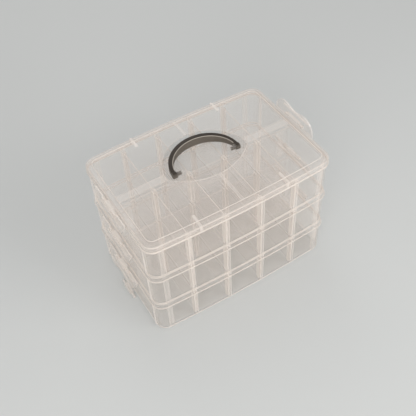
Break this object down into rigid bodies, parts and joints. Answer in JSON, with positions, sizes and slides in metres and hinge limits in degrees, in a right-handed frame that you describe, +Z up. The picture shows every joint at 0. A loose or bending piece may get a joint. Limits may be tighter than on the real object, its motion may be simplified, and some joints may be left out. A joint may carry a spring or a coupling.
{
  "type": "stacking storage organizer",
  "caption": "Clear stacking storage organizer: divided trays with loose dividers, a lid, snap latches at both ends and a folding carry handle.",
  "frame": {"origin": "on the supporting surface, under the middle of the stack", "axes": "+X along the long side towards the end whose lid latch is raised, +Y to the side the handle folds to, +Z up"},
  "size_m": [0.266, 0.1704, 0.1826],
  "materials": {
    "tray": "clear polypropylene, slightly milky",
    "divider": "clear polypropylene, slightly milky",
    "lid": "clear polypropylene, slightly milky",
    "latch": "clear polypropylene, slightly milky",
    "handle": "dark taupe plastic, satin"
  },
  "bodies": {
    "bottom_tray": {"bottom_tray": "tray", "bottom_divider_1": "divider", "bottom_divider_2": "divider", "bottom_divider_3": "divider", "bottom_divider_4": "divider", "bottom_divider_5": "divider", "bottom_divider_6": "divider", "bottom_divider_7": "divider", "bottom_divider_8": "divider"},
    "middle_tray": {"middle_tray": "tray", "middle_divider_1": "divider", "middle_divider_2": "divider", "middle_divider_3": "divider", "middle_divider_4": "divider", "middle_divider_5": "divider", "middle_divider_6": "divider", "middle_divider_7": "divider", "middle_divider_8": "divider"},
    "upper_tray": {"upper_tray": "tray", "upper_divider_1": "divider", "upper_divider_2": "divider", "upper_divider_3": "divider", "upper_divider_4": "divider", "upper_divider_5": "divider", "upper_divider_6": "divider", "upper_divider_7": "divider", "upper_divider_8": "divider"},
    "lid": {"lid": "lid"},
    "carry_handle": {"carry_handle": "handle"},
    "middle_latch_left": {"middle_latch_left": "latch"},
    "middle_latch_right": {"middle_latch_right": "latch"},
    "upper_latch_left": {"upper_latch_left": "latch"},
    "upper_latch_right": {"upper_latch_right": "latch"},
    "lid_latch_left": {"lid_latch_left": "latch"},
    "lid_latch_right": {"lid_latch_right": "latch"}
  },
  "joints": [
    {"name": "middle_tray_lift", "type": "slide", "parent": "bottom_tray", "child": "middle_tray", "axis": [0, 0, 1], "range_m": [0, 0.08]},
    {"name": "upper_tray_lift", "type": "slide", "parent": "middle_tray", "child": "upper_tray", "axis": [0, 0, 1], "range_m": [0, 0.08]},
    {"name": "lid_lift", "type": "slide", "parent": "upper_tray", "child": "lid", "axis": [0, 0, 1], "range_m": [0, 0.08]},
    {"name": "handle_swing", "type": "hinge", "parent": "lid", "child": "carry_handle", "pos_m": [0, 0, 0.1662], "axis": [1, 0, 0], "range_deg": [0, 110]},
    {"name": "middle_latch_left_swing", "type": "hinge", "parent": "middle_tray", "child": "middle_latch_left", "pos_m": [-0.1279, 0, 0.057], "axis": [0, 1, 0], "range_deg": [-14, 166]},
    {"name": "middle_latch_right_swing", "type": "hinge", "parent": "middle_tray", "child": "middle_latch_right", "pos_m": [0.1279, 0, 0.057], "axis": [0, -1, 0], "range_deg": [-14, 166]},
    {"name": "upper_latch_left_swing", "type": "hinge", "parent": "upper_tray", "child": "upper_latch_left", "pos_m": [-0.1279, 0, 0.111], "axis": [0, 1, 0], "range_deg": [-14, 166]},
    {"name": "upper_latch_right_swing", "type": "hinge", "parent": "upper_tray", "child": "upper_latch_right", "pos_m": [0.1279, 0, 0.111], "axis": [0, -1, 0], "range_deg": [-14, 166]},
    {"name": "lid_latch_left_swing", "type": "hinge", "parent": "lid", "child": "lid_latch_left", "pos_m": [-0.1279, 0, 0.165], "axis": [0, 1, 0], "range_deg": [-14, 166]},
    {"name": "lid_latch_right_swing", "type": "hinge", "parent": "lid", "child": "lid_latch_right", "pos_m": [0.1279, 0, 0.165], "axis": [0, -1, 0], "range_deg": [-180, 0]}
  ]
}
